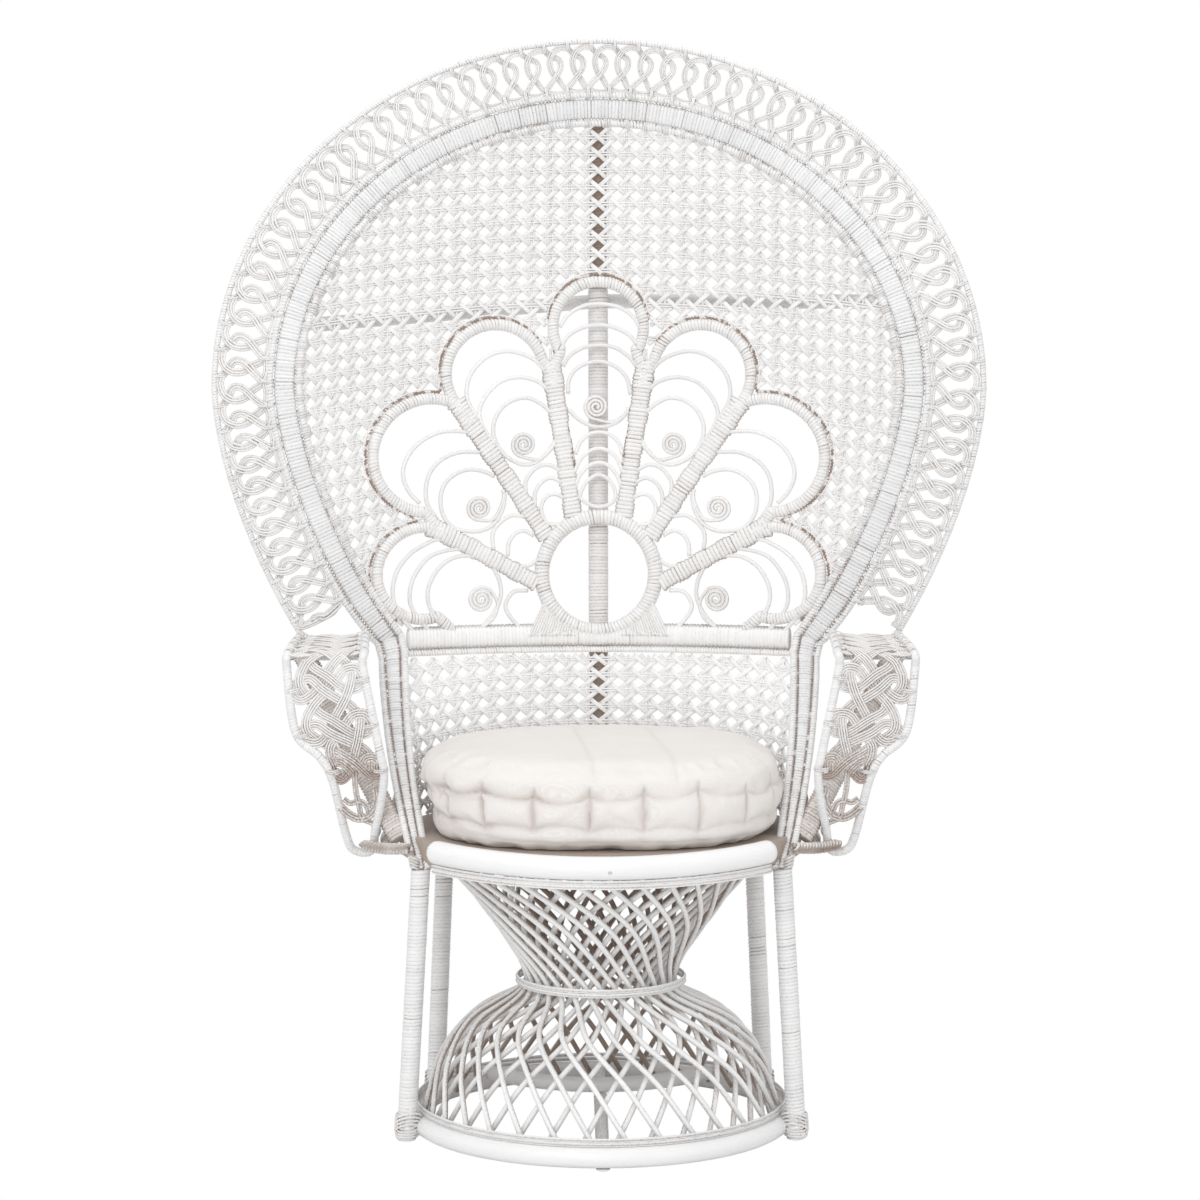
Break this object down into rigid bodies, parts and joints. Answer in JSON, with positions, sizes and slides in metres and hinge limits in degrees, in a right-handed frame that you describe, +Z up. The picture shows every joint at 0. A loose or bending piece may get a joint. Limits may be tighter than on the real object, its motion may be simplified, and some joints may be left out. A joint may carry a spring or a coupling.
{
  "type": "peacock chair",
  "caption": "Wicker armchair with a tall flared round back, a fan of cane petals, a woven barrel seat, an hourglass lattice base, side legs and a loose round tufted cushion.",
  "frame": {"origin": "centre of the bounding box's bottom face, on the floor", "axes": "+Z up, -Y the way a sitter faces, +X to the right seen from the front"},
  "size_m": [1.0782, 0.6858, 1.4935],
  "materials": {
    "painted_pole": "satin white paint over wrapped rattan poles",
    "painted_cane": "white paint on woven cane, warmer in the crevices",
    "linen": "matt natural linen"
  },
  "bodies": {
    "chair": {"rim_inner_pole": "painted_pole", "rim_outer_pole": "painted_pole", "rim_band": "painted_pole", "border_pole": "painted_pole", "border_lace": "painted_cane", "bottom_ring": "painted_pole", "glide_front": "painted_pole", "glide_back_right": "painted_pole", "glide_back_left": "painted_pole", "base_strip_lower": "painted_pole", "base_strip_upper": "painted_pole", "floor_stretcher": "painted_pole", "cross_stretcher": "painted_pole", "pedestal_canes_outer": "painted_cane", "pedestal_canes_inner": "painted_cane", "waist_strip_upper": "painted_pole", "waist_strip_lower": "painted_pole", "seat_front_rail": "painted_pole", "seat_back_rail": "painted_pole", "seat_strip_upper": "painted_pole", "seat_strip_lower": "painted_pole", "seat_deck": "painted_pole", "front_leg_left": "painted_pole", "front_leg_right": "painted_pole", "back_leg_left": "painted_pole", "back_leg_right": "painted_pole", "front_binding_left": "painted_cane", "front_binding_right": "painted_cane", "back_binding_left": "painted_cane", "back_binding_right": "painted_cane", "fan_base_rail": "painted_pole", "fan_hub": "painted_pole", "fan_petal_middle": "painted_cane", "fan_petal_1_left": "painted_cane", "fan_petal_1_right": "painted_cane", "fan_petal_2_left": "painted_cane", "fan_petal_2_right": "painted_cane", "fan_petal_3_left": "painted_cane", "fan_petal_3_right": "painted_cane", "back_weave": "painted_cane", "barrel_weave": "painted_cane", "barrel_top_pole": "painted_pole", "back_post": "painted_pole", "rear_brace": "painted_pole", "arm_pole_left": "painted_pole", "arm_pole_right": "painted_pole", "arm_strut_left": "painted_pole", "arm_strut_right": "painted_pole", "arm_weave_left": "painted_cane", "arm_weave_right": "painted_cane", "arm_tie_left": "painted_cane", "arm_tie_right": "painted_cane"},
    "cushion": {"cushion": "linen"}
  },
  "joints": [
    {"name": "cushion_lift", "type": "slide", "parent": "chair", "child": "cushion", "axis": [0, 0, 1], "range_m": [0, 0.15]}
  ]
}
